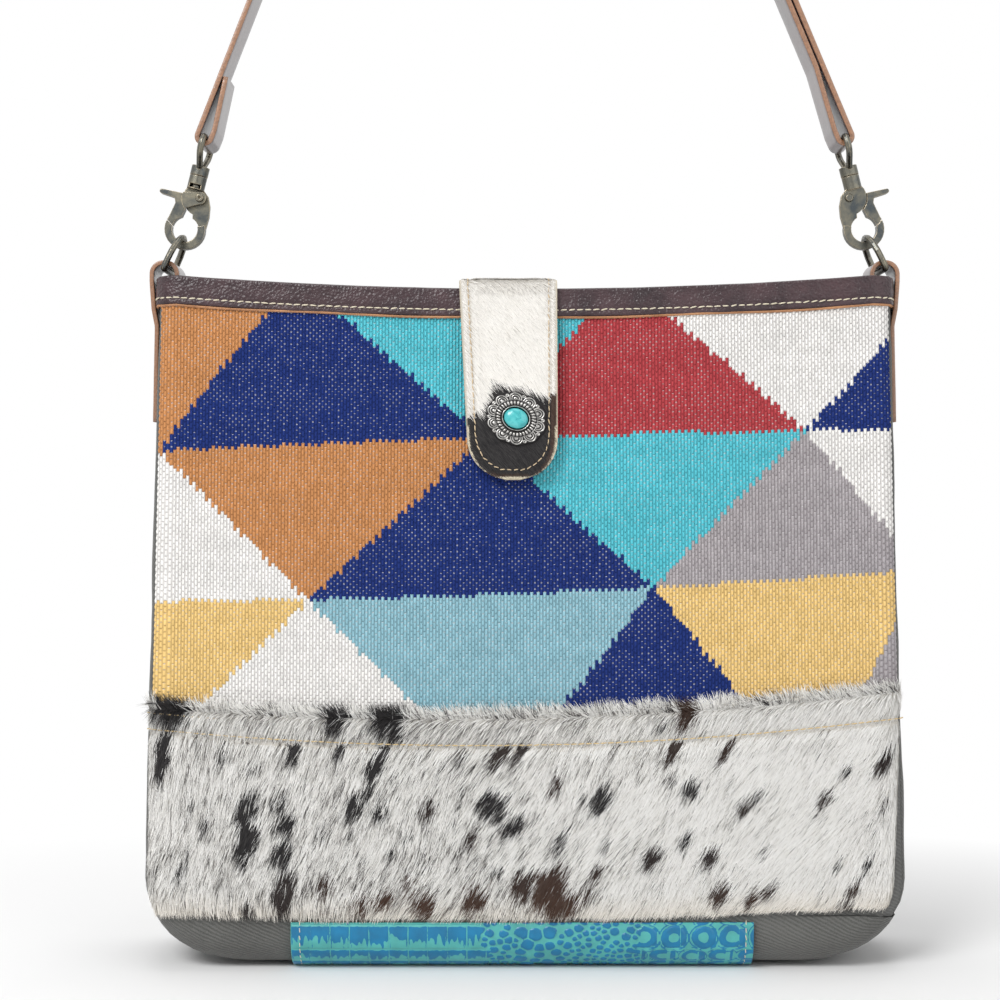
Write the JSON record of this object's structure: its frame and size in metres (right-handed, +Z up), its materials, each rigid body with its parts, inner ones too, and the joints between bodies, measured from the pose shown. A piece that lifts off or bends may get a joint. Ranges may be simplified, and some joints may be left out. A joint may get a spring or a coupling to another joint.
{
  "type": "kilim and hide shoulder bag",
  "caption": "Upright shoulder bag with a kilim front, a hair-on hide band, a canvas body, a snap closure tab and a leather strap on trigger snap hooks.",
  "frame": {"origin": "on the floor, on the underside of the base patch at the middle of the bag", "axes": "+X across the front to the viewer's right, +Y from the front to the back, +Z up"},
  "size_m": [0.3566, 0.0779, 0.7056],
  "materials": {
    "lining_cloth": "plain brown cotton lining",
    "canvas": "dark grey twill canvas with a diagonal rib",
    "kilim_weave": "flat woven wool in triangles of eight colours",
    "hair_hide": "hair-on hide, white and grey with black and brown flecks",
    "embossed_leather": "turquoise and blue leather with an embossed reptile grain",
    "binding_leather": "dark chocolate leather with a soft gloss",
    "strap_leather": "dark brown strap leather with raw tan edges",
    "suede_backing": "tan suede",
    "antique_brass": "darkened antique brass, brighter along its edges",
    "aged_silver": "cast silver-coloured metal with dark recesses",
    "turquoise_stone": "polished turquoise cabochon",
    "snap_steel": "plated press stud",
    "spring_steel": "spring wire"
  },
  "bodies": {
    "bag": {"lining": "lining_cloth", "base_panel": "canvas", "front_canvas": "canvas", "kilim_panel": "kilim_weave", "gusset_left": "canvas", "gusset_right": "canvas", "back_panel": "canvas", "hide_panel": "hair_hide", "base_patch": "embossed_leather", "top_binding": "binding_leather", "tab_anchor": "hair_hide", "snap_stud": "snap_steel", "side_tab_left": "strap_leather", "side_tab_right": "strap_leather"},
    "closure": {"closure_tab": "hair_hide", "tab_backing": "suede_backing", "concho": "aged_silver", "concho_stone": "turquoise_stone", "snap_socket": "snap_steel"},
    "ring_left": {"d_ring_left": "antique_brass"},
    "ring_right": {"d_ring_right": "antique_brass"},
    "carry_strap": {"strap": "strap_leather", "swivel_eye_left": "antique_brass", "swivel_eye_right": "antique_brass"},
    "hook_left": {"hook_body_left": "antique_brass", "gate_rivet_left": "antique_brass", "gate_spring_left": "spring_steel"},
    "hook_right": {"hook_body_right": "antique_brass", "gate_rivet_right": "antique_brass", "gate_spring_right": "spring_steel"},
    "gate_lever_left": {"gate_left": "antique_brass"},
    "gate_lever_right": {"gate_right": "antique_brass"}
  },
  "joints": [
    {"name": "closure_fold", "type": "hinge", "parent": "bag", "child": "closure", "pos_m": [-0.0065, 0.02388, 0.3187], "axis": [-1, 0, 0], "range_deg": [0, 170]},
    {"name": "strap_swing", "type": "hinge", "parent": "bag", "child": "carry_strap", "pos_m": [0, 0, 0.33189], "axis": [1, 0, 0], "range_deg": [-35, 35]},
    {"name": "ring_tilt_left", "type": "hinge", "parent": "bag", "child": "ring_left", "pos_m": [-0.17125, 0, 0.327], "axis": [0, 1, 0], "range_deg": [-2, 2]},
    {"name": "hook_swivel_left", "type": "hinge", "parent": "carry_strap", "child": "hook_left", "pos_m": [-0.16286, 0, 0.34684], "axis": [-0.2419, 0, -0.9703], "range_deg": [-20, 20]},
    {"name": "gate_pivot_left", "type": "hinge", "parent": "hook_left", "child": "gate_lever_left", "pos_m": [-0.15571, 0, 0.36186], "axis": [0, -1, 0], "range_deg": [0, 22], "stiffness_Nm_per_rad": 0.02, "springref_deg": -11.46},
    {"name": "ring_tilt_right", "type": "hinge", "parent": "bag", "child": "ring_right", "pos_m": [0.17125, 0, 0.327], "axis": [0, -1, 0], "range_deg": [-2, 2]},
    {"name": "hook_swivel_right", "type": "hinge", "parent": "carry_strap", "child": "hook_right", "pos_m": [0.16286, 0, 0.34684], "axis": [-0.2419, 0, 0.9703], "range_deg": [-20, 20]},
    {"name": "gate_pivot_right", "type": "hinge", "parent": "hook_right", "child": "gate_lever_right", "pos_m": [0.15571, 0, 0.36186], "axis": [0, 1, 0], "range_deg": [0, 22], "stiffness_Nm_per_rad": 0.02, "springref_deg": -11.46}
  ]
}
